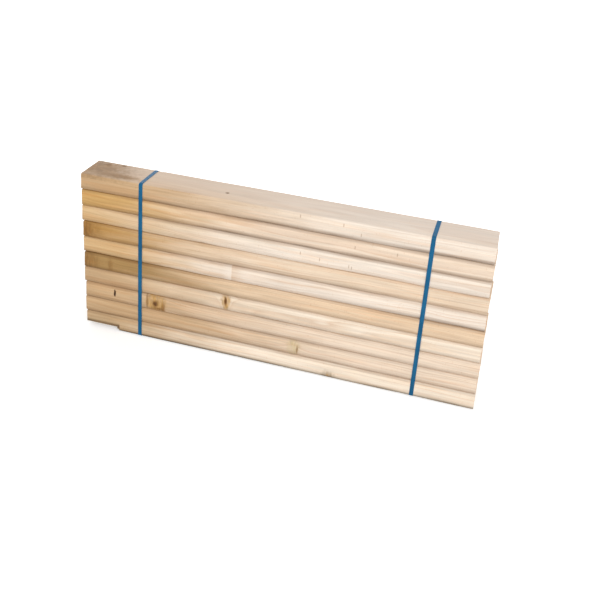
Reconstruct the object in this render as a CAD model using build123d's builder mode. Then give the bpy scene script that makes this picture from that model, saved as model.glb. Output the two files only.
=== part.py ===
from build123d import *

import os

# Bundle of pine studs: ten planed studs stacked flat, one above the other,
# held by two flat plastic straps.
# Millimetres. X runs along the studs, the front of the bundle faces -Y, Z is up.
# The origin is at the middle of the bundle's underside.

# Studs
STUD_THICKNESS = 38.0
STUD_WIDTH = 89.0
STUD_LENGTH = 900.0
ARRIS_RADIUS = 3.0

# How far each stud lies off the middle, lowest stud first: along X, then along Y.
# No stack is flush: this one leans a little to the left, as the straps hold it.
STUD_SHIFTS = [
    (4.5, 0.0),
    (2.5, 0.6),
    (3.0, -0.4),
    (0.5, 0.5),
    (1.5, -0.6),
    (-1.0, 0.3),
    (0.0, -0.2),
    (-3.0, 0.6),
    (-2.0, -0.5),
    (-4.5, 0.0),
]
STUD_COUNT = len(STUD_SHIFTS)
SIDE_PLAY = max(abs(across) for along, across in STUD_SHIFTS)

# The strip that has split off the lowest stud's front edge at its left end
SPLIT_LENGTH = 82.0
SPLIT_HEIGHT = 10.5
SPLIT_DEPTH = 24.0
SPLIT_TAPER = 3.0

# Straps, each placed by how far its middle is from the left end of the stack
STRAP_WIDTH = 9.0
STRAP_THICKNESS = 0.7
STRAP_PLACES = {"strap_left": 138.0, "strap_right": 771.0}
WELD_LENGTH = 35.0
WELD_HEIGHT = 205.0

# The stack stands on its straps. Their doubled ends stand out at the back,
# so the studs lie half a strap's thickness forward of the middle.
STACK_HEIGHT = STUD_COUNT * STUD_THICKNESS
STACK_BASE = STRAP_THICKNESS
STACK_MIDDLE = -STRAP_THICKNESS / 2
STACK_LEFT = -STUD_LENGTH / 2

# The straps lie over the studs that stand out furthest at the front and back.
LOOP_DEPTH = STUD_WIDTH + 2 * SIDE_PLAY
STANDING = (Align.CENTER, Align.MIN)


def write(part, name):
    """Label a finished piece and write it as its own file."""
    part.label = name
    export_step(part, f"parts/{name}.step")


def cross_section(along, across, height):
    """A plane square to the studs: its x runs to the back and its y upwards."""
    return Plane(origin=(along, across, height), x_dir=(0, 1, 0), z_dir=(1, 0, 0))


def make_stud(level):
    """One planed stud with eased long edges, at its level in the stack."""
    along, across = STUD_SHIFTS[level]
    underside = STACK_BASE + level * STUD_THICKNESS
    left_end = cross_section(STACK_LEFT + along, STACK_MIDDLE + across, underside)
    with BuildPart() as stud:
        with BuildSketch(left_end):
            RectangleRounded(STUD_WIDTH, STUD_THICKNESS, ARRIS_RADIUS, align=STANDING)
        extrude(amount=STUD_LENGTH)
    return stud.part


def make_split_stud():
    """The lowest stud, with a strip missing from its lower front edge."""
    along, across = STUD_SHIFTS[0]
    left = STACK_LEFT + along
    front = STACK_MIDDLE + across - STUD_WIDTH / 2
    with BuildPart() as stud:
        add(make_stud(0))
        with BuildSketch(Plane.XZ.offset(-front)):
            with BuildLine():
                Polyline(
                    (left, STACK_BASE),
                    (left + SPLIT_LENGTH, STACK_BASE),
                    (left + SPLIT_LENGTH - SPLIT_TAPER, STACK_BASE + SPLIT_HEIGHT),
                    (left, STACK_BASE + SPLIT_HEIGHT),
                    close=True,
                )
            make_face()
        extrude(amount=-SPLIT_DEPTH, mode=Mode.SUBTRACT)
    return stud.part


def make_strap(from_left):
    """A flat strap pulled tight round the stack, its ends welded at the back."""
    outer_depth = LOOP_DEPTH + 2 * STRAP_THICKNESS
    outer_height = STACK_HEIGHT + 2 * STRAP_THICKNESS
    outer_radius = ARRIS_RADIUS + STRAP_THICKNESS
    with BuildPart() as strap:
        with BuildSketch(cross_section(STACK_LEFT + from_left, STACK_MIDDLE, 0)):
            RectangleRounded(outer_depth, outer_height, outer_radius, align=STANDING)
            with Locations((0, STACK_BASE)):
                RectangleRounded(
                    LOOP_DEPTH, STACK_HEIGHT, ARRIS_RADIUS, align=STANDING, mode=Mode.SUBTRACT
                )
            with Locations((outer_depth / 2, WELD_HEIGHT)):
                Rectangle(STRAP_THICKNESS, WELD_LENGTH, align=(Align.MIN, Align.MIN))
        extrude(amount=STRAP_WIDTH / 2, both=True)
    return strap.part


os.makedirs("parts", exist_ok=True)

write(make_split_stud(), "stud_01")
for level in range(1, STUD_COUNT):
    write(make_stud(level), f"stud_{level + 1:02d}")

for strap_name, strap_place in STRAP_PLACES.items():
    write(make_strap(strap_place), strap_name)
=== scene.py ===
import math

import bpy
import numpy as np
from mathutils import Matrix, Vector


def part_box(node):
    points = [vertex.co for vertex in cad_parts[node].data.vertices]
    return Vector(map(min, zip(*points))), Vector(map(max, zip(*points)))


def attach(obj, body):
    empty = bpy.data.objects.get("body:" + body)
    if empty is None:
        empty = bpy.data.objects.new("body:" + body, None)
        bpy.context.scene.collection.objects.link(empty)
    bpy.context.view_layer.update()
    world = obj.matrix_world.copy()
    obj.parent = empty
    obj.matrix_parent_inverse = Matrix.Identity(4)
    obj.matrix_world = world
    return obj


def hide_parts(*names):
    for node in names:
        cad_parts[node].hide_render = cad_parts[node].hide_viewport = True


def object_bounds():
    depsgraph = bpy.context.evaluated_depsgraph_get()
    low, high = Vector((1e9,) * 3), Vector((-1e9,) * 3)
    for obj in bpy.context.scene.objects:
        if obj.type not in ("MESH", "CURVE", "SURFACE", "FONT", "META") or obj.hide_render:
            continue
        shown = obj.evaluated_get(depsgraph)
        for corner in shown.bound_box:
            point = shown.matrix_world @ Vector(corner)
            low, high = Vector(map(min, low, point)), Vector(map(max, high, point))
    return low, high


# Bundle of pine studs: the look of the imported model.
# Blender works in metres. Sizes here are in millimetres, and MM turns them into metres.
# X runs along the studs, the front faces -Y, Z is up.
MM = 0.001

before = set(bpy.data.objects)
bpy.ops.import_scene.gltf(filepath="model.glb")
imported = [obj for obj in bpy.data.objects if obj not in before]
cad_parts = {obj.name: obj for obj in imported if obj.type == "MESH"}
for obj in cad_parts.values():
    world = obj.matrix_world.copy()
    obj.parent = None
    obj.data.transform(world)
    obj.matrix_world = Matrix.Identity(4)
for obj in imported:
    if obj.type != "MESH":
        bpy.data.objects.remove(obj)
CAD_LOW, CAD_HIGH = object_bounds()
STACK_LEFT = CAD_LOW.x / MM
STACK_LENGTH = (CAD_HIGH.x - CAD_LOW.x) / MM

STUD_NAMES = sorted(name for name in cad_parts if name.startswith("stud"))
STRAP_NAMES = sorted(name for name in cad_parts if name.startswith("strap"))

# How finely a stud's surface is divided, round it and along it, and how far the finer steps
# reach past its ends, the straps, a knot's rim and the end of the split
ARRIS_STEPS = 6
WIDE_STEPS = 28
NARROW_STEPS = 12
COARSE_STEP = 4.0
FINE_STEP = 1.3
END_STEP = 0.9
END_REACH = 8.0
STRAP_REACH = 8.0
KNOT_REACH = 3.0
SPLIT_REACH = 10.0
SHARP_ANGLE = math.radians(38)

# How far real timber is from the drawn shape. FACE_POWER keeps wear to a point's own face
ARRIS_RADIUS = 4.0
RADIUS_CHANGE = 0.7
NICK_DEPTH = 1.32
NICK_COUNT = 9
NICK_REACH = (4, 11)
FACE_WAVE = 0.1
FACE_POWER = 8
KNOT_RAISED = 0.22
KNOT_SUNK = -0.35
KNOT_SKIN = 0.6
SAW_BREAK = 0.5
SAW_BREAK_REACH = 0.5
SAW_ROUGHNESS = 0.22
END_INSET = ARRIS_RADIUS + 1.0
END_SKEW = 0.5
END_FUZZ = 0.18
END_FADE = 14.0
BITE_DEPTH = 0.45
BITE_REACH = 5.5
BITE_FADE = 3.0
GAP = 0.3
GAP_CHANGE = 0.15

# The strip split off the lowest stud, as its solid has it, and how roughly it has torn
SPLIT_LENGTH = 82.0
SPLIT_HEIGHT = 10.5
SPLIT_DEPTH = 24.0
SPLIT_TAPER = 3.0
SPLIT_JAG = 4.0
SPLIT_END = 1.2
SPLIT_FIBRE = 0.7

# Straps. EMBOSSED and WELD_MARKS are waves, in radians for each millimetre
STRAP_WIDTH = 9.0
STRAP_THICKNESS = 0.7
STRAP_INSIDE = 0.02
STRAP_STEP = 4.0
STRAP_EDGE = 0.22
STRAP_SWAY = 0.35
WELD_BOTTOM = 205.0
WELD_TOP = 240.0
WELD_MARGIN = 3.0
EMBOSSED = 4.2
WELD_MARKS = 7.0
TAIL_STEP = 1.5
TAIL_LENGTH = 9.0
TAIL_LIFT = 0.9
TAIL_ASIDE = 0.3

# Materials. A cloud is noise, CHECKS_PER_RADIAN counts drying cracks round a stud's heart, and
# KNOT_SCALE is how far along a knot's row of colours its rim is
PINE_SHEEN = 0.32
STRAP_SHEEN = 0.25
PINE_RELIEF = 0.5
STRAP_RELIEF = 0.12
CLOUD_THIN = 0.3
CLOUD_DENSE = 0.7
RIPPLE_LENGTH = 3.4
CHECKS_PER_RADIAN = 4.0
KNOT_SCALE = 0.8

# Camera, in metres and degrees, at the photograph's place
CAMERA_PLACE = (0.4355, -1.658, 1.1227)
CAMERA_YAW = 13.8
CAMERA_PITCH = 22.8
CAMERA_ROLL = 4.6
CAMERA_LENS = 52.8
CAMERA_SENSOR = 36.0
CAMERA_SHIFT_Y = -0.18

# Light and floor, in metres, watts and shares of white
KEY_PLACE = (0.95, -2.6, 1.9)
KEY_WATTS = 49.0
BACK_PLACE = (-1.6, 2.4, 1.2)
BACK_WATTS = 16.0
LAMP_SIZE = 1.8
WORLD_LEVEL = 0.6
FLOOR_HALF = 6.0
FLOOR_NEAR = 0.3
FLOOR_FAR = 1.1
FLOOR_GLOW = 0.45


def tone(red, green, blue):
    """A colour as a screen shows it, 0 to 255, as Blender's linear colour."""
    linear = []
    for part in (red, green, blue):
        part = part / 255
        linear.append(part / 12.92 if part <= 0.04045 else ((part + 0.055) / 1.055) ** 2.4)
    return (*linear, 1.0)


# Wood, at the left or right of a stud
MILK = tone(254, 239, 219)
PALE = tone(250, 236, 220)
CREAM = tone(246, 226, 204)
SAND = tone(242, 220, 194)
WARM = tone(242, 215, 183)
STRAW = tone(230, 194, 143)
FAWN = tone(210, 180, 140)
TAN = tone(214, 180, 138)
HONEY = tone(220, 177, 112)
AMBER = tone(200, 154, 86)
OLIVE = tone(180, 144, 90)

# What the wood's colour is mixed with
# Painted shade for the upper face, a greyer pink
TOP_SHADE = tone(228, 211, 197)
TORN = tone(196, 160, 112)
CRACK = tone(96, 66, 44)

# Knots
BLACK = tone(62, 32, 12)
DARK = tone(96, 58, 22)
BROWN = tone(146, 100, 46)
RED = tone(168, 108, 62)
OCHRE = tone(204, 160, 96)
GREEN = tone(200, 182, 116)
GREY = tone(168, 148, 120)
STAIN = tone(156, 120, 80)

# What the wood's colour is multiplied by
LATEWOOD = tone(206, 160, 112)
# Painted shade, with some dirt, along the joints between studs
JOINT_SHADE_AND_DIRT = tone(140, 122, 108)
# Painted shade along the lowest stud's foot, where it meets the floor
CONTACT_SHADE = tone(158, 154, 142)
FLUSHED = tone(250, 226, 200)
CHATTERED = tone(226, 196, 160)
RESIN = tone(205, 160, 112)
TICKED = tone(170, 140, 108)
SAWN = tone(240, 224, 204)
SAWN_RING = tone(214, 172, 128)

# Straps and floor
STRAP_DEEP = tone(10, 88, 128)
STRAP_LIGHT = tone(16, 102, 146)
STRAP_SCUFF = tone(80, 150, 190)
STRAP_WELD = tone(4, 58, 98)
FLOOR_PAPER = tone(232, 232, 232)

# Each stud. Its colour goes from left to right over turn. heart is the middle of its growth
# rings, across and up from the middle of its left end, drift is how far that moves along the
# stud, and ring is one ring's width. bow is how far the stud bends forwards. seam is how strongly
# painted shade, with some dirt, darkens the joint under it at its left, middle and right, and
# clear is how far it lies off the stud below over some stretches. glued is where two lengths of
# timber are joined end to end
STUDS = {
    "stud_10": dict(
        left=TAN, right=PALE, turn=(60, 720), heart=(-18, -64), drift=(10, 16),
        ring=4.6, bow=0.24, seam=(0.55, 0.8, 1.0), clear=[(240, 530, 1.3), (765, 910, 1.1)],
    ),
    "stud_09": dict(
        left=HONEY, right=CREAM, turn=(20, 480), heart=(62, 30), drift=(-12, 8),
        ring=3.6, bow=-0.48, seam=(0.5, 0.95, 0.75), clear=[(420, 620, 1.1)],
    ),
    "stud_08": dict(
        left=STRAW, right=PALE, turn=(-60, 500), heart=(-70, 12), drift=(9, -10),
        ring=4.2, bow=0.4, seam=(0.4, 0.2, 0.35), clear=[(250, 330, 0.6)],
    ),
    "stud_07": dict(
        left=AMBER, right=SAND, turn=(0, 430), heart=(20, 52), drift=(8, 8),
        ring=3.9, bow=-0.32, seam=(0.5, 0.65, 0.45), clear=[(-10, 60, 0.8)],
    ),
    "stud_06": dict(
        left=STRAW, right=PALE, turn=(50, 400), heart=(34, -40), drift=(-9, 7),
        ring=4.8, bow=0.48, seam=(0.75, 0.35, 1.0), clear=[(-10, 70, 0.9), (800, 910, 1.2)],
        glued=357,
    ),
    "stud_05": dict(
        left=OLIVE, right=WARM, turn=(60, 480), heart=(-40, 44), drift=(10, -6),
        ring=3.4, bow=-0.56, seam=(0.6, 0.5, 0.45), clear=[(-10, 50, 0.7)],
    ),
    "stud_04": dict(
        left=TAN, right=MILK, turn=(40, 560), heart=(74, -22), drift=(-8, 9),
        ring=4.1, bow=0.16, seam=(0.45, 0.5, 0.5), clear=[(480, 640, 0.5)],
    ),
    "stud_03": dict(
        left=TAN, right=CREAM, turn=(40, 620), heart=(-12, 60), drift=(6, -12),
        ring=4.4, bow=0.48, seam=(0.5, 0.6, 0.4), clear=[(560, 700, 0.7)],
    ),
    "stud_02": dict(
        left=TAN, right=CREAM, turn=(120, 700), heart=(52, 46), drift=(-10, 8),
        ring=3.8, bow=-0.4, seam=(0.45, 0.6, 0.6), clear=[(300, 420, 0.5)],
    ),
    "stud_01": dict(
        left=FAWN, right=MILK, turn=(60, 420), heart=(28, -58), drift=(9, 12),
        ring=4.5, bow=0.0, seam=(0.7, 0.7, 0.7), clear=[],
    ),
}
TOP_SEAM = (0.1, 0.1, 0.1)

# Knots: the face, how far from the left end of the stack, how far above the middle of an edge or
# behind the middle of a face, half the length, half the height, and the kind
KNOTS = {
    "stud_10": [
        ("top", 34, 24, 7.5, 8.0, "heart"),
        ("top", 66, 34, 6.0, 5.0, "heart"),
        ("top", 14, 4, 96, 60, "stain_and_shade"),
        ("top", 84, -26, 52, 15, "stain_and_shade"),
        ("top", 328, -10.7, 4.0, 3.6, "heart"),
        ("back", 610, -2, 11, 9, "dead"),
    ],
    "stud_09": [("back", 180, 3, 9, 12, "live"), ("back", 196, -9, 3, 4, "heart")],
    "stud_08": [("back", 470, 0, 12, 10, "live"), ("back", 480, 12, 3, 6, "heart")],
    "stud_07": [
        ("front", 4, 0, 44, 30, "swirl"),
        ("front", 14, -1, 9, 17, "swirl"),
        ("back", 760, 4, 8, 15, "live"),
    ],
    "stud_06": [("back", 330, -4, 6, 7, "dead")],
    "stud_05": [
        ("front", 8, 0, 34, 30, "swirl"),
        ("front", 70, -1, 6, 16, "swirl"),
        ("back", 90, 2, 11, 16, "live"),
        ("back", 560, 6, 4, 4, "heart"),
    ],
    "stud_04": [
        ("front", 347, 0, 9.5, 21, "wedge"),
        ("front", 346, 5, 3.4, 9.5, "heart"),
        ("back", 660, 0, 10, 13, "dead"),
    ],
    "stud_03": [
        ("front", 80, 2.5, 2.6, 9.5, "slit"),
        ("front", 182, 0, 24, 28, "halo"),
        ("front", 160, 2, 2.6, 22, "seam"),
        ("front", 199, -9, 5.0, 14, "seam"),
        ("front", 189, -13, 10, 3.6, "seam"),
        ("front", 180, -2, 6.5, 8.5, "heart"),
        ("back", 250, 3, 13, 9, "live"),
    ],
    "stud_02": [
        ("front", 508, 0, 15.0, 28, "green"),
        ("front", 516, -5, 2.1, 11, "seam"),
        ("back", 820, -3, 7, 11, "dead"),
    ],
    "stud_01": [
        ("front", 590, -15, 15, 14, "grey"),
        ("back", 120, 0, 8, 8, "live"),
        ("back", 440, 2, 12, 14, "live"),
        ("under", 300, 12, 14, 12, "live"),
        ("under", 690, -20, 11, 10, "dead"),
    ],
}

# Each kind of knot: how strongly it covers the wood, where it fades out (0 is its middle, 1 its
# rim), how far it pushes the growth rings, how much of its width it loses towards its foot, its
# relief, whether upright streaks take the place of rays and rings, and its colours from the middle
KNOT_KINDS = {
    "heart": dict(cover=0.92, fade=(0.45, 1.5), push=1.5, relief=KNOT_SUNK,
                  stops=[(0.35, DARK), (1.0, BROWN)]),
    "slit": dict(cover=1.0, fade=(0.7, 1.15), push=2.0, relief=KNOT_SUNK,
                 stops=[(0.7, BLACK), (1.0, DARK)]),
    "seam": dict(cover=0.75, fade=(0.2, 1.5), push=0.0, relief=KNOT_SUNK,
                 stops=[(0.0, BROWN), (1.0, BROWN)]),
    "halo": dict(cover=0.95, fade=(0.6, 1.25), push=7.0, streaked=True,
                 stops=[(0.0, OCHRE), (1.0, OCHRE)]),
    "wedge": dict(cover=0.95, fade=(0.6, 1.35), push=6.0, taper=0.3, streaked=True,
                  stops=[(0.0, BROWN), (0.5, OCHRE)]),
    "swirl": dict(cover=0.7, fade=(0.1, 1.5), push=4.0, streaked=True, relief=0.0,
                  stops=[(0.0, BROWN), (1.0, BROWN)]),
    "green": dict(cover=0.5, fade=(0.1, 1.4), push=4.0, streaked=True,
                  stops=[(0.0, GREEN), (1.0, GREEN)]),
    "grey": dict(cover=0.85, fade=(0.2, 1.4), push=4.0, streaked=True,
                 stops=[(0.0, OCHRE), (0.45, GREY)]),
    "stain_and_shade": dict(cover=0.88, fade=(0.2, 1.4), push=0.0, relief=0.0,
                  stops=[(0.0, STAIN), (1.0, STAIN)]),
    "live": dict(cover=0.85, fade=(0.8, 1.4), push=8.0,
                 stops=[(0.0, DARK), (0.16, BROWN), (0.55, OCHRE), (1.0, RED)]),
    "dead": dict(cover=0.92, fade=(0.95, 1.15), push=5.0,
                 stops=[(0.0, DARK), (0.3, RED), (0.82, BROWN), (0.92, BLACK)]),
}

# Short marks across the grain that the planer has left: from the left end of the stack, above
# the middle of the front edge
TICKS = {
    "stud_10": [(500, 12), (592, 9), (630, -6)],
    "stud_09": [(620, 2), (708, 3)],
    "stud_08": [(506, 4), (548, -3), (611, -6), (617, -8)],
}


def wander(first, second, spacing, seed):
    """Smooth random values, -1 to 1, that change over two arrays of places."""
    random = np.random.default_rng(seed)
    along = (first - np.min(first)) / spacing[0]
    beside = (second - np.min(second)) / spacing[1]
    values = random.uniform(-1, 1, (int(along.max()) + 2, int(beside.max()) + 2))
    row, column = along.astype(int), beside.astype(int)
    down, right = along - row, beside - column
    down, right = down * down * (3 - 2 * down), right * right * (3 - 2 * right)
    near = values[row, column] * (1 - right) + values[row, column + 1] * right
    far = values[row + 1, column] * (1 - right) + values[row + 1, column + 1] * right
    return near * (1 - down) + far * down


def wander_along(places, spacing, seed):
    """The same along one line of places."""
    return wander(places, np.zeros_like(places), (spacing, 1), seed)


def hump(places, start, end):
    """0 outside start and end, and a smooth rise to 1 between them."""
    share = np.clip((places - start) / (end - start), 0, 1)
    return np.sin(math.pi * share) ** 2


def run_along(path):
    """How far along a path each of its points is."""
    return np.concatenate([[0], np.cumsum(np.hypot(*np.diff(path, axis=0).T))])


def quads(*corners):
    """Four-cornered faces, from four grids of their corners."""
    return np.stack(corners, axis=2).reshape(-1, 4).tolist()


def box_of(name):
    """A node's lowest and highest corners in millimetres."""
    low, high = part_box(name)
    return np.array(low) / MM, np.array(high) / MM


STRAP_PLACES = [float(np.mean([box_of(name)[0][0], box_of(name)[1][0]])) for name in STRAP_NAMES]


class Stud:
    """One stud's sizes, and the places of its sections."""

    def __init__(self, name, number):
        self.name = name
        self.number = number
        self.look = STUDS[name]
        self.low, self.high = box_of(name)
        self.middle = (self.low + self.high) / 2
        _, self.half_width, self.half_height = (self.high - self.low) / 2
        self.is_split = name == STUD_NAMES[0]
        self.is_outer = name in (STUD_NAMES[0], STUD_NAMES[-1])
        finer = 2 if self.is_split else 1
        self.steps = [WIDE_STEPS * finer, NARROW_STEPS * finer] * 2
        self.places = stations(self.low[0], self.high[0], self.fine_places())
        self.from_end = np.minimum(self.places - self.places[0], self.places[-1] - self.places)
        self.skew = np.random.default_rng(seed=70 + number).uniform(-1, 1, 2) * END_SKEW

    def fine_places(self):
        """Where the surface changes fast, and how far that reaches."""
        places = [(place, STRAP_REACH) for place in STRAP_PLACES]
        for _, from_left, _, half_length, _, _ in KNOTS[self.name]:
            places.append((STACK_LEFT + from_left, half_length + KNOT_REACH))
        if self.is_split:
            places.append((self.low[0] + SPLIT_LENGTH, SPLIT_REACH))
        return places


def stations(left, right, fine_places):
    """Places along a stud, closer together at its ends and near fine_places."""
    places = [left]
    while places[-1] < right:
        here = places[-1]
        step = COARSE_STEP
        if min(here - left, right - here) < END_REACH:
            step = END_STEP
        for middle, reach in fine_places:
            if abs(here - middle) < reach:
                step = min(step, FINE_STEP)
        places.append(here + step)
    places = np.array(places)
    return left + (places - left) * (right - left) / (places[-1] - left)


def corner_radii(stud):
    """Each arris's radius at each station: uneven, with small dents."""
    radii = np.full((len(stud.places), 4), ARRIS_RADIUS)
    for corner in range(4):
        change = wander_along(stud.places, spacing=70, seed=40 * stud.number + corner)
        radii[:, corner] += RADIUS_CHANGE * change
    random = np.random.default_rng(seed=500 + stud.number)
    for _ in range(NICK_COUNT):
        middle = random.uniform(stud.places[0], stud.places[-1])
        reach = random.uniform(*NICK_REACH)
        corner = random.integers(0, 4)
        radii[:, corner] += NICK_DEPTH * hump(stud.places, middle - reach, middle + reach)
    return radii


def outline(stud, radii):
    """A stud's rounded section at each station, from its upper back arris on."""
    arcs = []
    for number, (side, top) in enumerate([(1, 1), (-1, 1), (-1, -1), (1, -1)]):
        radius = radii[:, number : number + 1]
        angles = np.radians(90 * number + np.linspace(0, 90, ARRIS_STEPS + 1))
        across = side * (stud.half_width - radius) + radius * np.cos(angles)
        up = top * (stud.half_height - radius) + radius * np.sin(angles)
        arcs.append(np.stack([across, up], axis=2))
    rows = []
    for number, arc in enumerate(arcs):
        start = arc[:, -1:]
        end = arcs[(number + 1) % 4][:, :1]
        shares = np.linspace(0, 1, stud.steps[number] + 1)[1:-1].reshape(1, -1, 1)
        rows += [arc, start + (end - start) * shares]
    section = np.concatenate(rows, axis=1)
    return section[:, :, 0], section[:, :, 1]


def worn_inward(stud, across, up):
    """How far inside the drawn surface each point lies: sawing, planing, strap bites."""
    grid_x, grid_edge = np.meshgrid(stud.places, np.arange(across.shape[1]), indexing="ij")
    wave = wander(grid_x, grid_edge, spacing=(60, 6), seed=900 + stud.number)
    broken = SAW_BREAK * np.exp(-stud.from_end / SAW_BREAK_REACH)
    bite = np.zeros_like(stud.places)
    if stud.is_outer:
        for place in STRAP_PLACES:
            bite += BITE_DEPTH * np.exp(-(((stud.places - place) / BITE_REACH) ** 4))
    from_arris = np.maximum(stud.half_width - abs(across), stud.half_height - abs(up))
    bite = bite[:, None] * np.exp(-from_arris / BITE_FADE)
    return broken[:, None] + FACE_WAVE * (1 + wave) + bite


def knot_relief(stud, across, up):
    """How far knots stand out of the surface or lie below it."""
    out_across = np.zeros_like(across)
    out_up = np.zeros_like(up)
    faces = {
        "front": (up, across + stud.half_width, out_across, -1),
        "back": (up, stud.half_width - across, out_across, 1),
        "top": (across, stud.half_height - up, out_up, 1),
        "under": (across, up + stud.half_height, out_up, -1),
    }
    for face, from_left, offset, half_length, half_height, kind in KNOTS[stud.name]:
        beside, depth, out, way = faces[face]
        aside = (stud.places[:, None] - STACK_LEFT - from_left) / half_length
        distance = np.hypot(aside, (beside - offset) / half_height)
        relief = KNOT_KINDS[kind].get("relief", KNOT_RAISED)
        out += way * relief * np.clip(1 - distance**2, 0, 1) * (depth < KNOT_SKIN)
    return out_across, out_up


def tear_split(stud, across, up):
    """Turn the lower front edge into the torn strip's roof, back wall and ragged end."""
    roof = SPLIT_HEIGHT - stud.half_height
    wall = SPLIT_DEPTH - stud.half_width
    # The points that are moved: the strip's own, and the row of them just past its edges
    on_front = (across[0] < -stud.half_width + 0.5) & (up[0] <= roof + 1.2)
    on_corner = (across[0] <= wall + 0.8) & (up[0] < -stud.half_height + ARRIS_RADIUS + 1)
    chosen = np.nonzero(on_front | on_corner)[0]
    run = run_along(np.stack([across[0, chosen], up[0, chosen]], axis=1))
    run *= (SPLIT_DEPTH + SPLIT_HEIGHT) / run[-1]
    run[np.argmin(abs(run - SPLIT_DEPTH))] = SPLIT_DEPTH
    grid_x, grid_run = np.meshgrid(stud.places - stud.places[0], run, indexing="ij")
    fibre = SPLIT_FIBRE * wander(grid_x, grid_run, spacing=(26, 1.6), seed=5)
    fibre += 0.5 * SPLIT_FIBRE * wander(grid_x, grid_run, spacing=(9, 0.9), seed=6)
    on_roof = (run < SPLIT_DEPTH - 0.1) & (run > 0.5)
    on_wall = (run > SPLIT_DEPTH + 0.1) & (run < run[-1] - 0.5)
    torn_across = np.minimum(run, SPLIT_DEPTH) - stud.half_width + fibre * on_wall
    torn_up = roof - np.maximum(run - SPLIT_DEPTH, 0) + fibre * on_roof
    taper = SPLIT_TAPER * np.clip((up[0, chosen] + stud.half_height) / SPLIT_HEIGHT, 0, 1)
    ends = SPLIT_LENGTH - 1 - taper + SPLIT_JAG * wander_along(run, spacing=2.2, seed=7)
    torn = np.zeros_like(across)
    torn[:, chosen] = np.clip((ends - grid_x) / SPLIT_END, 0, 1)
    across[:, chosen] += (torn_across - across[:, chosen]) * torn[:, chosen]
    up[:, chosen] += (torn_up - up[:, chosen]) * torn[:, chosen]
    return torn


def lift_of(stud):
    """How far the underside is off the stud below at each station."""
    lift = GAP + GAP_CHANGE * wander_along(stud.places, spacing=90, seed=60 + stud.number)
    for start, end, amount in stud.look["clear"]:
        lift += amount * hump(stud.places, STACK_LEFT + start, STACK_LEFT + end)
    return lift * (not stud.is_split)


def bow_of(stud):
    """How far the stud bends forwards at each station."""
    left, right = STRAP_PLACES
    return stud.look["bow"] * np.sin(math.pi * (stud.places - left) / (right - left))


def skewed(stud, across, up):
    """How far along the stud each point lies on an end sawn a little out of square."""
    skew_up, skew_across = stud.skew
    return skew_up * up / stud.half_height + skew_across * across / stud.half_width


def settled(stud, x, across, up, lift, bow):
    """Points of a stud in the stack: its underside off the stud below, and bowed."""
    up = up + lift * (0.5 - up / (2 * stud.half_height))
    return np.stack([x, across - bow + stud.middle[1], up + stud.middle[2]], axis=2).reshape(-1, 3)


def stud_sides(stud):
    """Points on the long faces, a ring of them at each station, and how torn each is."""
    across, up = outline(stud, corner_radii(stud))
    inward = worn_inward(stud, across, up)
    across_share = np.clip(abs(across) / stud.half_width, 0, 1) ** FACE_POWER
    up_share = np.clip(abs(up) / stud.half_height, 0, 1) ** FACE_POWER
    relief_across, relief_up = knot_relief(stud, across, up)
    torn = tear_split(stud, across, up) if stud.is_split else np.zeros_like(across)
    keep = 1 - torn
    across = across + keep * (relief_across - np.sign(across) * inward * across_share)
    up = up + keep * (relief_up - np.sign(up) * inward * up_share)
    grid_edge, grid_x = np.meshgrid(np.arange(across.shape[1]), stud.places)
    fuzz = END_FUZZ * wander(grid_edge, grid_x, spacing=(3, 400), seed=80 + stud.number)
    near_end = np.exp(-stud.from_end / END_FADE)[:, None]
    x = stud.places[:, None] + near_end * (skewed(stud, across, up) + fuzz)
    points = settled(stud, x, across, up, lift_of(stud)[:, None], bow_of(stud)[:, None])
    return points, torn


def end_points(stud, end):
    """A grid of points over a rough sawn end: 0 is the left one, 1 the right."""
    wide, high = stud.half_width - END_INSET, stud.half_height - END_INSET
    columns = np.linspace(wide, -wide, stud.steps[0] + 1)
    rows = np.linspace(high, -high, stud.steps[1] + 1)
    across, up = np.meshgrid(columns, rows, indexing="ij")
    rough = SAW_ROUGHNESS * wander(across, up, spacing=(2.5, 9), seed=200 + 2 * stud.number + end)
    x = stud.places[-end] + rough + skewed(stud, across, up)
    return settled(stud, x, across, up, lift_of(stud)[-end], bow_of(stud)[-end])


def end_faces(stud, ring, grid):
    """Faces over one end: a grid inside, joined to the ring round it."""
    sides = [grid[:, 0], grid[-1, :], grid[::-1, -1], grid[0, ::-1]]
    faces = []
    start = 0
    for side, steps in zip(sides, stud.steps):
        for step in range(ARRIS_STEPS):
            faces.append((ring[start + step], ring[start + step + 1], side[0]))
        start += ARRIS_STEPS
        for step in range(steps):
            after = (start + step + 1) % len(ring)
            faces.append((ring[start + step], ring[after], side[step + 1], side[step]))
        start += steps
    return faces + quads(grid[:-1, :-1], grid[1:, :-1], grid[1:, 1:], grid[:-1, 1:])


def make_stud(stud):
    """One stud's mesh, and its section where each strap goes round it."""
    points, torn = stud_sides(stud)
    rings = np.arange(len(points)).reshape(torn.shape)
    strapped = [np.argmin(abs(stud.places - place)) for place in STRAP_PLACES]
    sections = [points[rings[station], 1:] for station in strapped]
    ahead = np.roll(rings, -1, axis=1)
    faces = quads(rings[:-1], ahead[:-1], ahead[1:], rings[1:])
    torn = torn.reshape(-1)
    for end in (0, 1):
        if stud.is_split and end == 0:
            faces.append(rings[0][::-1].tolist())
            continue
        grid = len(points) + np.arange((stud.steps[0] + 1) * (stud.steps[1] + 1))
        cap = end_faces(stud, rings[-end], grid.reshape(stud.steps[0] + 1, -1))
        faces += [face[::-1] if end == 0 else face for face in cap]
        points = np.concatenate([points, end_points(stud, end)])
        torn = np.concatenate([torn, np.zeros(len(grid))])
    piece = add_mesh(stud.name + "_timber", points * MM, faces)
    add_values(piece, "torn", torn)
    piece.data.materials.append(pine_material(stud))
    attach(piece, "root")
    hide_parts(stud.name)
    return sections


def add_object(name, data):
    """A new object in the scene."""
    added = bpy.data.objects.new(name, data)
    bpy.context.scene.collection.objects.link(added)
    return added


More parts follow.
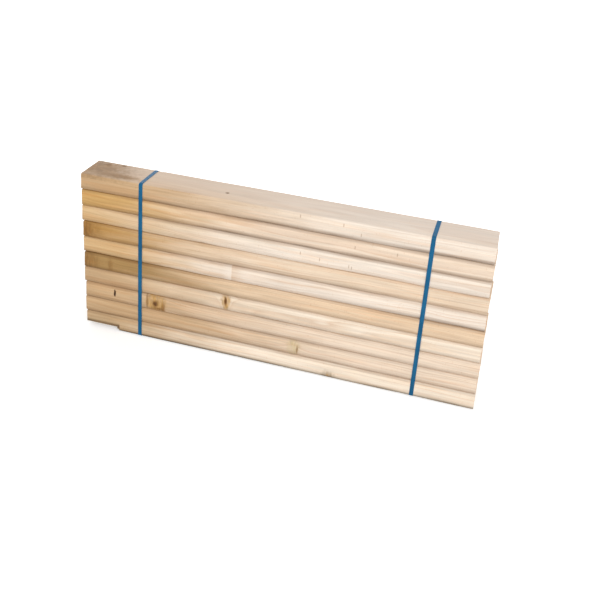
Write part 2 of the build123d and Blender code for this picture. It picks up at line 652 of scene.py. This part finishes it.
def add_mesh(name, points, faces):
    """A new smooth-shaded object with sharp edges kept sharp."""
    mesh = bpy.data.meshes.new(name)
    mesh.from_pydata(np.asarray(points).tolist(), [], faces)
    mesh.polygons.foreach_set("use_smooth", np.ones(len(mesh.polygons), bool))
    mesh.set_sharp_from_angle(angle=SHARP_ANGLE)
    mesh.update()
    return add_object(name, mesh)


def add_values(piece, name, values):
    """Store a number for each point of a piece, for its material to read."""
    attribute = piece.data.attributes.new(name, "FLOAT", "POINT")
    attribute.data.foreach_set("value", np.asarray(values, np.float32))


class Shader:
    """A material's or the world's nodes, with short ways to add and join them."""

    def __init__(self, owner, seed=0.0):
        owner.use_nodes = True
        self.owner = owner
        self.nodes = owner.node_tree.nodes
        self.seed = seed

    def add(self, kind, inputs=(), **settings):
        """Add a node. inputs holds its sockets' values, or outputs to join to them."""
        node = self.nodes.new("ShaderNode" + kind)
        for key, value in settings.items():
            setattr(node, key, value)
        for key, value in dict(inputs).items():
            self.join(value, node.inputs[key])
        return node

    def join(self, value, socket):
        """Link an output to a socket, or set the socket's value."""
        if isinstance(value, bpy.types.NodeSocket):
            self.owner.node_tree.links.new(value, socket)
        else:
            socket.default_value = value

    def finished(self, inputs, node="Principled BSDF"):
        """The material or world, once one of its own nodes has these inputs."""
        for name, value in inputs.items():
            self.join(value, self.nodes[node].inputs[name])
        return self.owner

    def place_in_mm(self):
        """Where each point is in the shared frame, in millimetres."""
        place = self.add("TexCoord").outputs["Object"]
        return self.vector("MULTIPLY", place, (1 / MM, 1 / MM, 1 / MM))

    def read(self, name):
        """The numbers that a piece stores under a name."""
        return self.add("Attribute", attribute_name=name).outputs["Fac"]

    def math(self, operation, first, second=0.0, clamp=False):
        inputs = {0: first, 1: second}
        return self.add("Math", inputs, operation=operation, use_clamp=clamp).outputs[0]

    def plus(self, first, *others):
        for other in others:
            first = self.math("ADD", first, other)
        return first

    def minus(self, first, second):
        return self.math("SUBTRACT", first, second)

    def times(self, first, *others):
        for other in others:
            first = self.math("MULTIPLY", first, other)
        return first

    def size_of(self, value):
        return self.math("ABSOLUTE", value)

    def vector(self, operation, first, second=(0.0, 0.0, 0.0)):
        node = self.add("VectorMath", {0: first, 1: second}, operation=operation)
        return node.outputs["Value" if operation == "LENGTH" else "Vector"]

    def combine(self, x, y=0.0, z=0.0):
        return self.add("CombineXYZ", {0: x, 1: y, 2: z}).outputs[0]

    def split(self, vector):
        return list(self.add("SeparateXYZ", {0: vector}).outputs)

    def noise(self, place, spread, seed, detail=2.0, roughness=0.5, output="Fac"):
        """Cloudy values about 0.5, in patches the size of spread. Each seed is another cloud."""
        place = self.vector("MULTIPLY", place, tuple(1 / part for part in spread))
        inputs = {
            "Vector": place, "W": self.seed + seed, "Scale": 1.0,
            "Detail": detail, "Roughness": roughness,
        }
        return self.add("TexNoise", inputs, noise_dimensions="4D").outputs[output]

    def drift(self, place, spread, seed, detail, reach):
        """Cloudy offsets, up to about a quarter of reach either way."""
        cloud = self.noise(place, spread, seed, detail, output="Color")
        return self.vector("MULTIPLY", self.vector("SUBTRACT", cloud, (0.5, 0.5, 0.5)), reach)

    def rise(self, value, low, high, start=0.0, end=1.0):
        """start below low, end above high, and smooth between them."""
        inputs = {0: value, 1: low, 2: high, 3: start, 4: end}
        return self.add("MapRange", inputs, interpolation_type="SMOOTHSTEP").outputs[0]

    def levels(self, cloud, low, high):
        """Cloudy values, stretched out from low to high."""
        return self.rise(cloud, CLOUD_THIN, CLOUD_DENSE, low, high)

    def mix(self, amount, first, second, blend="MIX"):
        inputs = {0: amount, 6: first, 7: second}
        return self.add("Mix", inputs, data_type="RGBA", blend_type=blend).outputs[2]

    def tint(self, amount, colour, tinted):
        """Multiply a colour by another as far as amount says."""
        return self.mix(amount, colour, tinted, "MULTIPLY")

    def shade(self, colour, level):
        """Make a colour darker or lighter."""
        return self.tint(1.0, colour, self.combine(level, level, level))

    def ramp(self, value, stops):
        """Colours or greys at the given places between 0 and 1."""
        node = self.add("ValToRGB", {0: value})
        elements = node.color_ramp.elements
        while len(elements) < len(stops):
            elements.new(0.5)
        for element, (place, colour) in zip(elements, stops):
            element.position = place
            element.color = colour if isinstance(colour, tuple) else (colour, colour, colour, 1)
        return node.outputs[0]


class Wood(Shader):
    """One stud's pine, in steps that share the places and patterns kept here."""

    def __init__(self, stud):
        super().__init__(bpy.data.materials.new(stud.name + "_pine"), seed=3.7 * stud.number)
        self.stud = stud
        self.look = stud.look
        _, middle_across, middle_up = stud.middle.tolist()
        self.place = self.vector("SUBTRACT", self.place_in_mm(), (0.0, middle_across, middle_up))
        self.along, self.across, self.up = self.split(self.place)
        self.from_left = self.minus(self.along, STACK_LEFT)
        self.share = self.math("DIVIDE", self.from_left, STACK_LENGTH)
        bend = self.drift(self.place, (170, 34, 34), 0, 1.5, (0.0, 9.0, 9.0))
        self.bent = self.vector("ADD", self.place, bend)
        self.normal = self.split(self.add("NewGeometry").outputs["Normal"])
        self.is_end = self.rise(self.size_of(self.normal[0]), 0.6, 0.85)
        self.patch = self.noise(self.place, (90, 16, 16), 2)
        self.fibre = self.noise(self.bent, (55, 0.9, 0.9), 3, 3.0, 0.6)
        self.streak = self.noise(self.bent, (160, 4.5, 4.5), 4)
        self.wobble = self.drift(self.place, (8, 8, 8), 0, 2.0, (0.9, 0.9, 0.0))
        self.knots = [self.knot_field(*knot) for knot in KNOTS[stud.name]]
        self.grow_rings()

    def knot_field(self, face, from_left, offset, half_length, half_height, kind):
        """A knot's kind, how far from its middle a point is (1 is its rim), and which way."""
        kind = KNOT_KINDS[kind]
        if face in ("front", "back"):
            beside, inward, edge = self.up, self.across, self.stud.half_width
        else:
            beside, inward, edge = self.across, self.up, self.stud.half_height
        is_low = face in ("front", "under")
        depth = self.plus(inward, edge) if is_low else self.minus(edge, inward)
        deep = self.rise(depth, 0.45 * edge, 0.75 * edge, 0.0, 4.0)
        first = self.math("DIVIDE", self.minus(self.from_left, from_left), half_length)
        second = self.math("DIVIDE", self.minus(beside, offset), half_height)
        if "taper" in kind:
            width = self.rise(second, -1.0, 1.0, 1 - kind["taper"], 1 + kind["taper"])
            first = self.math("DIVIDE", first, width)
        angle = self.math("ARCTAN2", second, first)
        flat = self.combine(first, second, deep)
        distance = self.vector("LENGTH", self.vector("ADD", flat, self.wobble))
        return kind, distance, angle

    def grow_rings(self):
        """Growth rings round the tree's heart, pushed aside by each knot."""
        from_heart = []
        places = self.split(self.bent)[1:]
        for place, heart, drift in zip(places, self.look["heart"], self.look["drift"]):
            heart = self.plus(self.times(self.share, drift), heart)
            from_heart.append(self.minus(place, heart))
        across, up = from_heart
        radius = self.vector("LENGTH", self.combine(across, up))
        for kind, distance, _ in self.knots:
            fade = self.math("EXPONENT", self.times(distance, distance, -0.35))
            radius = self.plus(radius, self.times(fade, kind["push"]))
        self.radius = radius
        self.angle = self.math("ARCTAN2", up, across)
        uneven = self.noise(self.combine(radius), (14, 1, 1), 0, 1.0)
        rings = self.math("DIVIDE", radius, self.look["ring"])
        rings = self.plus(rings, self.times(uneven, 5.0))
        late = self.ramp(self.math("FRACT", rings), [
            (0.0, 0.45), (0.07, 0.05), (0.45, 0.1), (0.8, 0.6), (0.93, 1.0), (1.0, 0.45),
        ])
        ring_place = self.combine(self.math("FLOOR", rings), self.share)
        strength = self.noise(ring_place, (1, 0.4, 1), 1, 1.0)
        self.late = self.times(late, self.levels(strength, 0.12, 0.62))

    def grown(self):
        """Early and late wood, of one tone at the left and another at the right, with painted
        shade: each stud lighter at its top and darker at its foot, as if lit from above.
        """
        shifted = self.plus(self.from_left, self.rise(self.patch, 0.0, 1.0, -75.0, 75.0))
        turned = self.rise(shifted, *self.look["turn"])
        early = self.mix(turned, self.look["left"], self.look["right"])
        late = self.tint(0.62, early, LATEWOOD)
        colour = self.mix(self.late, early, late)
        level = self.times(
            self.levels(self.fibre, 0.95, 1.04),
            self.levels(self.streak, 0.93, 1.04),
            self.levels(self.patch, 0.95, 1.03),
            # Painted shade and light: each stud lighter at its top and darker at its foot, as if
            # lit from above
            self.rise(self.up, -self.stud.half_height, self.stud.half_height, 0.92, 1.04),
        )
        colour = self.shade(colour, level)
        flush = self.noise(self.bent, (120, 8, 8), 5, 1.0)
        return self.tint(self.rise(flush, 0.45, 0.75, 0.0, 0.35), colour, FLUSHED)

    def planed(self, colour):
        """Faint chatter across the grain, thin resin streaks, and the planer's ticks."""
        chatter = self.noise(self.place, (1.1, 30, 9), 6, 1.0)
        colour = self.tint(self.rise(chatter, 0.68, 0.76, 0.0, 0.4), colour, CHATTERED)
        dash = self.noise(self.bent, (9, 0.7, 0.7), 7, 1.0, 0.4)
        colour = self.tint(self.rise(dash, 0.7, 0.78, 0.0, 0.5), colour, RESIN)
        for from_left, offset in TICKS.get(self.stud.name, []):
            beside = self.size_of(self.minus(self.from_left, from_left))
            above = self.size_of(self.minus(self.up, offset))
            mark = self.times(
                self.rise(beside, 0.3, 1.7, 0.5, 0.0),
                self.rise(above, 2.0, 5.0, 1.0, 0.0),
                self.math("LESS_THAN", self.across, 0.0),
            )
            colour = self.tint(mark, colour, TICKED)
        return colour

    def finger_jointed(self, colour):
        """The line across the grain where two lengths of timber are glued end to end."""
        past = self.minus(self.from_left, self.look["glued"])
        is_left = self.math("LESS_THAN", past, 0.0)
        before = self.times(self.rise(past, -26.0, -3.0, 0.0, 0.55), is_left)
        after = self.times(self.rise(past, 0.0, 34.0, 0.3, 0.0), self.minus(1.0, is_left))
        return self.tint(after, self.mix(before, colour, PALE), CHATTERED)

    def shaded_top_face(self, colour):
        """Painted shade on the bundle's upper face, which the frontal light reaches less: faces
        that point up are mixed towards a greyer pink, more towards the back.
        """
        facing = self.rise(self.normal[2], 0.45, 0.97)
        depth = self.rise(self.across, -self.stud.half_width, 0.4 * self.stud.half_width, 0.6, 1.0)
        return self.mix(self.times(facing, depth, 0.6), colour, TOP_SHADE)

    def rayed(self, distance, angle):
        """A round knot's grain: fine rays out from its middle, and rings."""
        cosine, sine = self.math("COSINE", angle), self.math("SINE", angle)
        rays = self.noise(self.combine(cosine, sine, distance), (0.6, 0.6, 1.2), 0, 3.0, 0.7)
        rings = self.math("SINE", self.times(distance, 15.0))
        return self.times(self.levels(rays, 0.8, 1.1), self.rise(rings, -1.0, 1.0, 0.93, 1.03))

    def knotted(self, colour):
        """Each knot's own colours and grain, kept off the sawn ends."""
        streaks = self.noise(self.place, (2.4, 2.4, 18), 0, 2.0, 0.6)
        patches = self.noise(self.place, (5, 5, 26), 11)
        for kind, distance, angle in self.knots:
            stops = [(KNOT_SCALE * place, stop) for place, stop in kind["stops"]]
            inside = self.ramp(self.math("MULTIPLY", distance, KNOT_SCALE, clamp=True), stops)
            cover = self.rise(distance, *kind["fade"], kind["cover"], 0.0)
            cover = self.times(cover, self.minus(1.0, self.is_end))
            if kind.get("streaked"):
                grain = self.rise(streaks, 0.35, 0.65, 0.74, 1.14)
                cover = self.times(cover, self.rise(patches, 0.36, 0.6, 0.6, 1.0))
            else:
                grain = self.rayed(distance, angle)
            colour = self.mix(cover, colour, self.shade(inside, grain))
        return colour

    def seam_shade_and_dirt(self, distance, near, far, most, seam):
        """Painted shade, with some dirt, that fades out from a joint. seam is its strength at the
        left, middle and right.
        """
        strength = self.ramp(self.share, list(zip((0.0, 0.5, 1.0), seam)))
        return self.times(self.rise(distance, near, far, most, 0.0), strength)

    def shade_and_dirt_on_joints(self, colour):
        """Painted shade and some dirt along the joints, more below than above as if lit from
        above, and painted shade along the lowest stud's foot.
        """
        above = self.stud.number + 1
        seam_above = STUDS[STUD_NAMES[above]]["seam"] if above < len(STUD_NAMES) else TOP_SEAM
        from_side = self.minus(self.stud.half_width, self.size_of(self.across))
        from_under = self.plus(self.up, self.stud.half_height)
        from_top = self.minus(self.stud.half_height, self.up)
        if self.stud.is_split:
            is_left = self.math("LESS_THAN", self.along, self.stud.low[0] + SPLIT_LENGTH)
            wall = SPLIT_DEPTH - self.stud.half_width + 1.0
            is_torn = self.times(is_left, self.math("LESS_THAN", self.across, wall))
            from_under = self.size_of(self.minus(from_under, self.times(is_torn, SPLIT_HEIGHT)))
        from_lower = self.math("MAXIMUM", from_side, from_under)
        from_upper = self.math("MAXIMUM", from_side, from_top)
        lower = self.seam_shade_and_dirt(from_lower, 3.0, 12.0, 0.78, self.look["seam"])
        upper = self.seam_shade_and_dirt(from_upper, 2.0, 7.5, 0.68, seam_above)
        uneven = self.rise(self.noise(self.place, (110, 70, 15), 10, 1.0), 0.34, 0.62, 0.7, 1.0)
        uneven = self.times(uneven, self.rise(self.streak, 0.25, 0.7, 0.8, 1.0))
        # Painted shade with some dirt: joints darker under each stud than over it, as if lit from
        # above
        shade_and_dirt = self.times(self.math("MAXIMUM", lower, upper), uneven)
        colour = self.tint(shade_and_dirt, colour, JOINT_SHADE_AND_DIRT)
        # Painted contact shadow along the lowest stud's foot, where it sits on the floor
        if self.stud.is_split:
            stain_and_shade = self.times(self.rise(from_lower, 2.5, 8.5, 1.0, 0.0), uneven)
            colour = self.tint(stain_and_shade, colour, CONTACT_SHADE)
        return colour

    def end_checks(self):
        """Drying cracks in the sawn ends: thin lines that run out from the heart."""
        turns = self.times(self.angle, CHECKS_PER_RADIAN)
        sector = self.math("FLOOR", turns)
        chance = self.add("TexWhiteNoise", {"Vector": self.combine(sector, self.seed)})
        chance = self.add("SeparateColor", {0: chance.outputs["Color"]}).outputs
        place = self.rise(chance[0], 0.0, 1.0, 0.25, 0.75)
        aside = self.minus(self.math("FRACT", turns), place)
        aside = self.times(aside, self.radius, 1 / CHECKS_PER_RADIAN)
        jitter = self.noise(self.combine(self.radius, sector), (5, 1, 1), 0, 2.0, 0.6)
        aside = self.plus(aside, self.rise(jitter, 0.0, 1.0, -1.1, 1.1))
        thin = self.rise(self.size_of(aside), 0.12, 0.5, 1.0, 0.0)
        middle = self.rise(chance[1], 0.0, 1.0, 30.0, 95.0)
        reach = self.rise(self.size_of(self.minus(self.radius, middle)), 9.0, 15.0, 1.0, 0.0)
        return self.times(thin, reach, self.is_end)

    def sawn(self, colour, saw, checks):
        """Sawn ends: darker, with plainer rings, saw marks and drying checks."""
        sawn = self.tint(self.times(self.late, 0.8), colour, SAWN_RING)
        sawn = self.tint(1.0, sawn, SAWN)
        sawn = self.shade(sawn, self.levels(saw, 0.9, 1.04))
        sawn = self.mix(checks, sawn, CRACK)
        return self.mix(self.is_end, colour, sawn)

    def torn(self, colour, torn):
        """Torn wood in the split: streaked along its fibres."""
        ragged = self.shade(colour, self.levels(self.fibre, 0.72, 1.0))
        return self.mix(torn, colour, self.mix(0.35, ragged, TORN))

    def relief(self, saw, checks, torn):
        """Fine relief: fibres, late wood, planer ripple, saw marks, checks and torn fibres."""
        ripple = self.math("SINE", self.times(self.along, 2 * math.pi / RIPPLE_LENGTH))
        height = self.plus(
            self.times(self.fibre, 0.6), self.times(self.late, 0.35), self.times(ripple, 0.05),
            self.times(checks, -1.5), self.times(self.is_end, saw, 0.9),
            self.times(torn, self.fibre, 2.0),
        )
        inputs = {"Strength": 0.5, "Distance": PINE_RELIEF * MM, "Height": height}
        return self.add("Bump", inputs).outputs[0]


def pine_material(stud):
    """Planed pine: rings, fibres and knots, sawn ends, a torn split, and painted shade on each
    stud's foot, along the joints with some dirt, and on the upper face.
    """
    wood = Wood(stud)
    colour = wood.planed(wood.grown())
    if "glued" in stud.look:
        colour = wood.finger_jointed(colour)
    if stud.name == STUD_NAMES[-1]:
        colour = wood.shaded_top_face(colour)
    colour = wood.shade_and_dirt_on_joints(wood.knotted(colour))
    saw = wood.noise(wood.place, (10, 26, 1.3), 9, 2.0, 0.6)
    checks = wood.end_checks()
    torn = wood.read("torn")
    colour = wood.torn(wood.sawn(colour, saw, checks), torn)
    return wood.finished({
        "Base Color": colour,
        "Roughness": wood.rise(wood.fibre, 0.0, 1.0, 0.52, 0.74),
        "Specular IOR Level": PINE_SHEEN,
        "Normal": wood.relief(saw, checks, torn),
    })


def hull_of(points):
    """The taut loop round some points, as points in order, turning left."""
    points = sorted(set(map(tuple, np.round(points, 3).tolist())))

    def half(ordered):
        chain = []
        for point in ordered:
            while len(chain) > 1:
                (ax, ay), (bx, by) = chain[-2], chain[-1]
                left_turn = (bx - ax) * (point[1] - ay) - (by - ay) * (point[0] - ax)
                if left_turn > 1e-9:
                    break
                chain.pop()
            chain.append(point)
        return chain[:-1]

    return np.array(half(points) + half(points[::-1]))


def divide_loop(points):
    """The same loop with more points on its long runs."""
    divided = []
    for start, end in zip(points, np.roll(points, -1, axis=0)):
        pieces = max(1, int(np.hypot(*(end - start)) / STRAP_STEP))
        for piece in range(pieces):
            divided.append(start + (end - start) * piece / pieces)
    return np.array(divided)


def outward_of(path, closed):
    """At each point of a left-turning path, the way out from what it goes round."""
    if closed:
        steps = np.roll(path, -1, axis=0) - path
        behind = np.roll(steps, 1, axis=0)
    else:
        steps = np.diff(path, axis=0)
        behind = np.concatenate([steps[:1], steps])
        steps = np.concatenate([steps, steps[-1:]])
    tangent = steps / np.linalg.norm(steps, axis=1, keepdims=True)
    tangent = tangent + behind / np.linalg.norm(behind, axis=1, keepdims=True)
    tangent = tangent / np.linalg.norm(tangent, axis=1, keepdims=True)
    return np.stack([tangent[:, 1], -tangent[:, 0]], axis=1)


def ribbon_profile():
    """The strap's own section: across its width and outwards, with bevelled edges."""
    half = STRAP_WIDTH / 2
    top = STRAP_THICKNESS
    flat = (half - STRAP_EDGE) * np.array([1.0, 0.5, 0.0, -0.5, -1.0])
    upper = [(across, top) for across in flat]
    lower = [(-across, STRAP_INSIDE) for across in flat]
    left = [(-half, top - STRAP_EDGE), (-half, STRAP_EDGE)]
    right = [(half, STRAP_EDGE), (half, top - STRAP_EDGE)]
    return np.array(upper + left + lower + right)


def ribbon(path, middles, closed, lift=0.0):
    """A strap along a path: points, faces, and how far along and across each point is."""
    profile = ribbon_profile()
    outward = outward_of(path, closed)
    spots = path[:, None] + outward[:, None] * (profile[None, :, 1:] + lift)
    across = middles[:, None] + profile[None, :, 0]
    points = np.concatenate([across[:, :, None], spots], axis=2).reshape(-1, 3)
    rings = np.arange(len(points)).reshape(len(path), len(profile))
    rounds = np.concatenate([rings, rings[:1]]) if closed else rings
    ahead = np.roll(rounds, -1, axis=1)
    faces = quads(rounds[:-1], rounds[1:], ahead[1:], ahead[:-1])
    if not closed:
        faces += [rings[0].tolist(), rings[-1][::-1].tolist()]
    runs = np.repeat(run_along(path), len(profile))
    widths = np.tile(profile[:, 0], len(path))
    return points, faces, runs, widths


def tail_path(back):
    """The strap's outer end: flat where it is welded down, then a little lifted."""
    heights = np.arange(WELD_BOTTOM, WELD_TOP + TAIL_LENGTH, TAIL_STEP)
    lifted = TAIL_LIFT * np.clip((heights - WELD_TOP) / TAIL_LENGTH, 0, 1) ** 2
    return np.stack([back + lifted, heights], axis=1)


def make_strap(name, middle, sections):
    """A strap pulled tight round the studs, its outer end welded down at the back."""
    loop = divide_loop(hull_of(np.concatenate(sections)))
    run = run_along(loop)
    sway = STRAP_SWAY * wander_along(run, spacing=160, seed=31) * hump(run, 0, run[-1])
    points, faces, runs, widths = ribbon(loop, middle + sway, closed=True)

    is_back = (loop[:, 0] > 0) & (loop[:, 1] > WELD_BOTTOM) & (loop[:, 1] < WELD_TOP)
    tail = tail_path(loop[is_back, 0].max())
    middles = np.full(len(tail), middle + TAIL_ASIDE)
    more, more_faces, more_runs, more_widths = ribbon(tail, middles, False, STRAP_THICKNESS)
    faces += [[index + len(points) for index in face] for face in more_faces]
    is_welded = (more[:, 2] > WELD_BOTTOM + WELD_MARGIN) & (more[:, 2] < WELD_TOP - WELD_MARGIN)

    piece = add_mesh(name + "_band", np.concatenate([points, more]) * MM, faces)
    add_values(piece, "run", np.concatenate([runs, more_runs]))
    add_values(piece, "cross", np.concatenate([widths, more_widths]))
    add_values(piece, "welded", np.concatenate([np.zeros(len(points)), is_welded]))
    piece.data.materials.append(strap_material(name))
    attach(piece, "root")
    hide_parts(name)


def strap_material(name):
    """Blue plastic strap, embossed with small diamonds, a little scuffed."""
    shader = Shader(bpy.data.materials.new(name + "_plastic"))
    run, cross, welded = shader.read("run"), shader.read("cross"), shader.read("welded")
    one = shader.math("SINE", shader.times(shader.plus(run, cross), EMBOSSED))
    other = shader.math("SINE", shader.times(shader.minus(run, cross), EMBOSSED))
    weld_marks = shader.math("SINE", shader.times(run, WELD_MARKS))
    place = shader.place_in_mm()
    scuff = shader.noise(place, (1.4, 8, 11), 0, 4.0, 0.6)
    cloud = shader.noise(place, (16, 50, 50), 1)
    colour = shader.mix(shader.levels(cloud, 0.0, 1.0), STRAP_DEEP, STRAP_LIGHT)
    colour = shader.mix(shader.rise(scuff, 0.62, 0.78, 0.0, 0.2), colour, STRAP_SCUFF)
    colour = shader.mix(shader.times(welded, 0.35), colour, STRAP_WELD)
    height = shader.plus(shader.times(one, other), shader.times(welded, weld_marks))
    bump = shader.add("Bump", {"Strength": 0.4, "Distance": STRAP_RELIEF * MM, "Height": height})
    return shader.finished({
        "Base Color": colour,
        "Roughness": shader.rise(scuff, 0.4, 0.75, 0.46, 0.66),
        "Specular IOR Level": STRAP_SHEEN,
        "Normal": bump.outputs[0],
    })


def make_floor():
    """A wide pale floor that keeps the object's shadow and looks white to the camera."""
    points = FLOOR_HALF * np.array([(-1, -1, 0), (1, -1, 0), (1, 1, 0), (-1, 1, 0)])
    floor = add_mesh("floor", points, [(0, 1, 2, 3)])
    shader = Shader(bpy.data.materials.new("floor_paper"))
    shader.finished({"Base Color": FLOOR_PAPER, "Roughness": 0.9, "Specular IOR Level": 0.0})
    seen = shader.add("LightPath").outputs["Is Camera Ray"]
    place = shader.add("NewGeometry").outputs["Position"]
    away = shader.vector("LENGTH", shader.vector("MULTIPLY", place, (0.6, 1.0, 1.0)))
    level = shader.times(seen, shader.rise(away, FLOOR_NEAR, FLOOR_FAR, FLOOR_GLOW, 1.0))
    glow = shader.add("Emission", {"Color": (1, 1, 1, 1), "Strength": level}).outputs[0]
    plain = shader.nodes["Principled BSDF"].outputs[0]
    both = shader.add("AddShader", {0: plain, 1: glow}).outputs[0]
    floor.data.materials.append(shader.finished({"Surface": both}, "Material Output"))


def make_world():
    """Even pale light from all round. The camera and glossy surfaces see white."""
    shader = Shader(bpy.data.worlds.new("studio"))
    path = shader.add("LightPath").outputs
    seen = shader.math("MAXIMUM", path["Is Camera Ray"], path["Is Glossy Ray"])
    level = shader.add("MapRange", {"Value": seen, "To Min": WORLD_LEVEL}).outputs[0]
    inputs = {"Color": (1, 1, 1, 1), "Strength": level}
    bpy.context.scene.world = shader.finished(inputs, "Background")


def add_lamp(name, place, watts):
    """A square soft lamp that points at the middle of the bundle."""
    data = bpy.data.lights.new(name, "AREA")
    data.size = LAMP_SIZE
    data.energy = watts
    lamp = add_object(name, data)
    lamp.location = place
    target = (CAD_LOW + CAD_HIGH) / 2
    lamp.rotation_euler = (target - Vector(place)).to_track_quat("-Z", "Y").to_euler()


def make_camera():
    """The photograph's camera: above and to the right of the bundle, tipped a little."""
    data = bpy.data.cameras.new("camera")
    data.sensor_width = CAMERA_SENSOR
    data.lens = CAMERA_LENS
    data.shift_y = CAMERA_SHIFT_Y
    camera = add_object("camera", data)
    placed = Matrix.Translation(CAMERA_PLACE)
    for angle, axis in [(CAMERA_YAW, "Z"), (90 - CAMERA_PITCH, "X"), (CAMERA_ROLL, "Z")]:
        placed = placed @ Matrix.Rotation(math.radians(angle), 4, axis)
    camera.matrix_world = placed
    bpy.context.scene.camera = camera


sections = [make_stud(Stud(name, number)) for number, name in enumerate(STUD_NAMES)]
for strap_name, strap_place, strap_sections in zip(STRAP_NAMES, STRAP_PLACES, zip(*sections)):
    make_strap(strap_name, strap_place, strap_sections)
make_floor()
make_world()
add_lamp("key", KEY_PLACE, KEY_WATTS)
add_lamp("back", BACK_PLACE, BACK_WATTS)
make_camera()
bpy.context.scene.view_settings.view_transform = "Standard"
